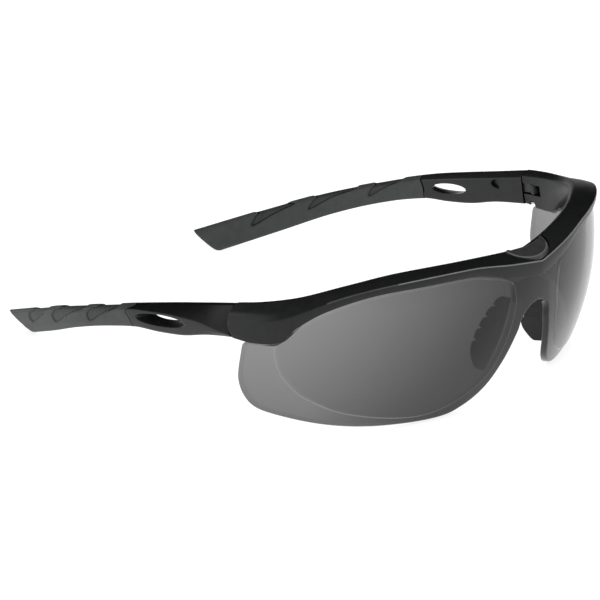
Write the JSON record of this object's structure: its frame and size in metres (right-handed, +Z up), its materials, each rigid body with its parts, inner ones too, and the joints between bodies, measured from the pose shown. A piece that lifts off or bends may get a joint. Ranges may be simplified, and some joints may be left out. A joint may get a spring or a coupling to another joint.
{
  "type": "safety glasses",
  "caption": "Wrap-around safety glasses with a smoke one-piece shield, black brow frame, folding temples and rubber temple grips.",
  "frame": {"origin": "centre of the bottom of the bounding box, on the table plane, with the temples open", "axes": "+Z up from the table, -Y is the way the wearer looks, +X is the wearer's left; the glasses stand on the shield's lower edge and the temple tips, so the worn frame is tipped 4.82 degrees about X"},
  "size_m": [0.144, 0.1822, 0.05],
  "materials": {
    "frame_nylon": "black nylon, satin",
    "cap_nylon": "black nylon, matte",
    "arm_nylon": "black nylon, satin",
    "grip_rubber": "dark grey soft rubber, matte",
    "pad_rubber": "black soft rubber, matte",
    "shield": "smoke-tinted clear polycarbonate, polished",
    "tongue_nylon": "dark grey nylon",
    "pin_steel": "plain steel"
  },
  "bodies": {
    "front": {"front_frame": "frame_nylon", "bridge_cap": "cap_nylon", "shield_lens": "shield", "nose_clip": "frame_nylon", "nose_pad_right": "pad_rubber", "nose_pad_left": "pad_rubber", "hinge_pin_right": "pin_steel", "hinge_pin_left": "pin_steel"},
    "temple_right": {"temple_arm_right": "arm_nylon", "temple_grip_right": "grip_rubber", "hinge_tongue_right": "tongue_nylon"},
    "temple_left": {"temple_arm_left": "arm_nylon", "temple_grip_left": "grip_rubber", "hinge_tongue_left": "tongue_nylon"}
  },
  "joints": [
    {"name": "fold_right", "type": "hinge", "parent": "front", "child": "temple_right", "pos_m": [-0.067, -0.03544, 0.03643], "axis": [0, -0.084, -0.9965], "range_deg": [0, 82]},
    {"name": "fold_left", "type": "hinge", "parent": "front", "child": "temple_left", "pos_m": [0.067, -0.03544, 0.03643], "axis": [0, 0.084, 0.9965], "range_deg": [0, 75]}
  ]
}
